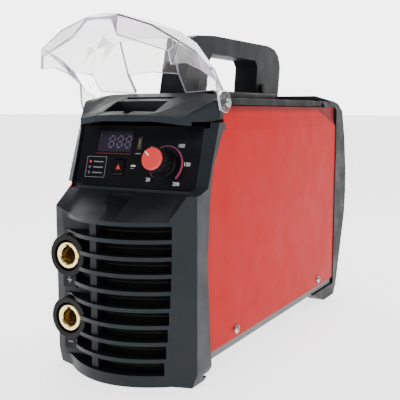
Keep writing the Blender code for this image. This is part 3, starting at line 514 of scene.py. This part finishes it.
def socket_marks():
    """Raised plus and minus on the label tabs, and a disc of painted shade at the floor of each bore."""
    for name in ("positive", "negative"):
        low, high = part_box(name + "_collar")
        x = (low.x + high.x) / 2
        z = low.z + 5.5 * MM
        front = Matrix.Translation((x, low.y + TAB_BACK, z)) @ Matrix.Rotation(math.pi / 2, 4, "X")
        bars = [((0, 0), (2.2, 0.45))]
        if name == "positive":
            bars.append(((0, 0), (0.45, 2.2)))
        for i, (spot, half) in enumerate(bars):
            plate("%s_mark_%d" % (name, i), box_outline(spot, half), 0.2 + 0.05 * i,
                  "print_grey", "machine", front)
        low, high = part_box(name + "_insert")
        x, z = (low.x + high.x) / 2, (low.z + high.z) / 2
        turns = [math.tau * k / BORE_SIDES for k in range(BORE_SIDES)]
        disc = [(BORE_R * math.cos(turn), BORE_R * math.sin(turn)) for turn in turns]
        # Painted shade: a dark disc at the bottom of the bore, where the deep hole lies in shade
        plate(name + "_bore_floor", disc, 0.3, "painted_shade_bore", "machine",
              Matrix.Translation((x, low.y + BORE_DEEP, z)) @ Matrix.Rotation(math.pi / 2, 4, "X"))


def hood():
    """The clear hood, whose cut edges carry a painted reflection of bright and dark streaks, and a rib on each
    side of its middle.
    """
    narrow, flat = 0.0026, math.radians(0.5)
    shape = bmesh.new()
    shape.from_mesh(NODES["clear_cover"].data)
    bmesh.ops.remove_doubles(shape, verts=shape.verts, dist=SAME_SPOT)
    bmesh.ops.dissolve_limit(shape, angle_limit=flat, verts=shape.verts,
                             edges=shape.edges)
    for face in shape.faces:
        longest = max(edge.calc_length() for edge in face.edges)
        face.material_index = int(face.calc_area() / longest < narrow)
        face.smooth = True
    data = to_data("hood", shape)
    piece = add("hood", data, "clear_plastic", "cover")
    data.materials.append(LOOKS["edge_painted_highlight"])
    round_edges(piece, 0.4, math.radians(SHARP)).material = 1
    piece.modifiers.new("normals", "WEIGHTED_NORMAL")
    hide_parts("clear_cover")

    hinge = Vector(JOINTS["cover_hinge"]["pos_m"])
    # From the hood's front down its inner side to the lobe: y and z from the hinge
    rib = [(-11.0, 45.8), (-6.4, 34.0), (-0.9, 21.6), (4.2, 15.0), (8.8, 9.2)]
    rib_x, rib_r = 22.2 * MM, 0.8 * MM
    for side in (-1, 1):
        name = "hood_rib_" + ("left" if side < 0 else "right")
        curve = bpy.data.curves.new(name, "CURVE")
        curve.dimensions = "3D"
        curve.bevel_depth = rib_r
        curve.bevel_resolution = 3
        curve.use_fill_caps = True
        spline = curve.splines.new("POLY")
        spline.points.add(len(rib) - 1)
        for point, (y, z) in zip(spline.points, rib):
            point.co = (side * rib_x, hinge.y + y * MM, hinge.z + z * MM, 1)
        # The ribs carry the same painted reflection as the hood's cut edges
        add(name, curve, "edge_painted_highlight", "cover")


def grille_louvres():
    """Slanted blades close behind the grille, which follow its bow and hide the inside; they are louvres, and
    being black they also stand in as painted shade for the inside of the case.
    """
    low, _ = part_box("front_bezel")
    bow, pillar, wall = 0.0175, 0.044, 0.0096
    left, width, steps = -0.0226, 0.0691, 12
    lowest, pitch, count = 0.0045, 0.00397, 27
    section = ((0, 0), (0, 0.0005), (0.0032, 0.0043), (0.0032, 0.0038))
    shape = bmesh.new()
    for i in range(count):
        z = lowest + pitch * i
        rows = []
        for k in range(steps + 1):
            x = left + width * k / steps
            y = low.y + bow * (x / pillar) ** 2 + wall
            rows.append([shape.verts.new((x, y + back, z + rise)) for back, rise in section])
        for one, two in zip(rows, rows[1:]):
            for k in range(len(section)):
                after = (k + 1) % len(section)
                shape.faces.new((one[k], one[after], two[after], two[k]))
        shape.faces.new(rows[0])
        shape.faces.new(rows[-1])
    bmesh.ops.recalc_face_normals(shape, faces=shape.faces)
    add("grille_louvres", to_data("grille_louvres", shape), "black_plastic", "machine")


panel_printing()
knob_details()
socket_marks()
hood()
grille_louvres()


# ---------------------------------------------------------------- stage

def aim(name, spot, target, size, power):
    """Round soft light that faces its target."""
    data = bpy.data.lights.new(name, "AREA")
    data.energy = power
    data.shape = "DISK"
    data.size = size
    light = bpy.data.objects.new(name, data)
    bpy.context.scene.collection.objects.link(light)
    light.location = spot
    light.rotation_euler = (Vector(target) - Vector(spot)).to_track_quat("-Z", "Y").to_euler()


def stage():
    """Pale floor, a bright backdrop behind the object in a dimmer room, and three soft lights."""
    shape = bmesh.new()
    bmesh.ops.create_grid(shape, x_segments=1, y_segments=1, size=30.0)
    data = to_data("floor", shape)
    data.materials.append(LOOKS["floor"])
    floor = bpy.data.objects.new("floor", data)
    floor.location.z = -0.0005
    bpy.context.scene.collection.objects.link(floor)

    world = bpy.data.worlds.new("pale_room")
    world.use_nodes = True
    nodes, links = world.node_tree.nodes, world.node_tree.links
    background = nodes["Background"]
    background.inputs["Color"].default_value = (1.0, 1.0, 1.0, 1.0)
    behind = nodes.new("ShaderNodeVectorMath")
    behind.operation = "DOT_PRODUCT"
    # Towards the bright backdrop, behind the object and to its left
    behind.inputs[1].default_value = (-0.49, 0.87, 0.0)
    links.new(nodes.new("ShaderNodeTexCoord").outputs["Generated"], behind.inputs[0])
    backdrop = nodes.new("ShaderNodeMapRange")
    for key, value in (("From Min", 0.55), ("From Max", 0.9), ("To Min", 0.26), ("To Max", 5.0)):
        backdrop.inputs[key].default_value = value
    links.new(behind.outputs["Value"], backdrop.inputs["Value"])
    links.new(backdrop.outputs["Result"], background.inputs["Strength"])
    bpy.context.scene.world = world

    middle = (0.0, 0.0, 0.12)
    aim("key", (-0.35, -1.25, 1.25), middle, 0.8, 7)
    aim("side", (1.6, -0.1, 0.75), middle, 1.0, 4.5)
    aim("top", (0.1, 0.1, 1.6), middle, 0.8, 16)


def camera():
    """The view from the right front, slightly from above."""
    data = bpy.data.cameras.new("camera")
    data.sensor_width = 36
    data.lens = 63.0
    view = bpy.data.objects.new("camera", data)
    bpy.context.scene.collection.objects.link(view)
    view.location = (0.2881, -0.5445 - FOOTPRINT_Y, 0.190)
    view.rotation_euler = (math.radians(90 - 7.246), 0, math.radians(29.24))
    bpy.context.scene.camera = view


stage()
camera()
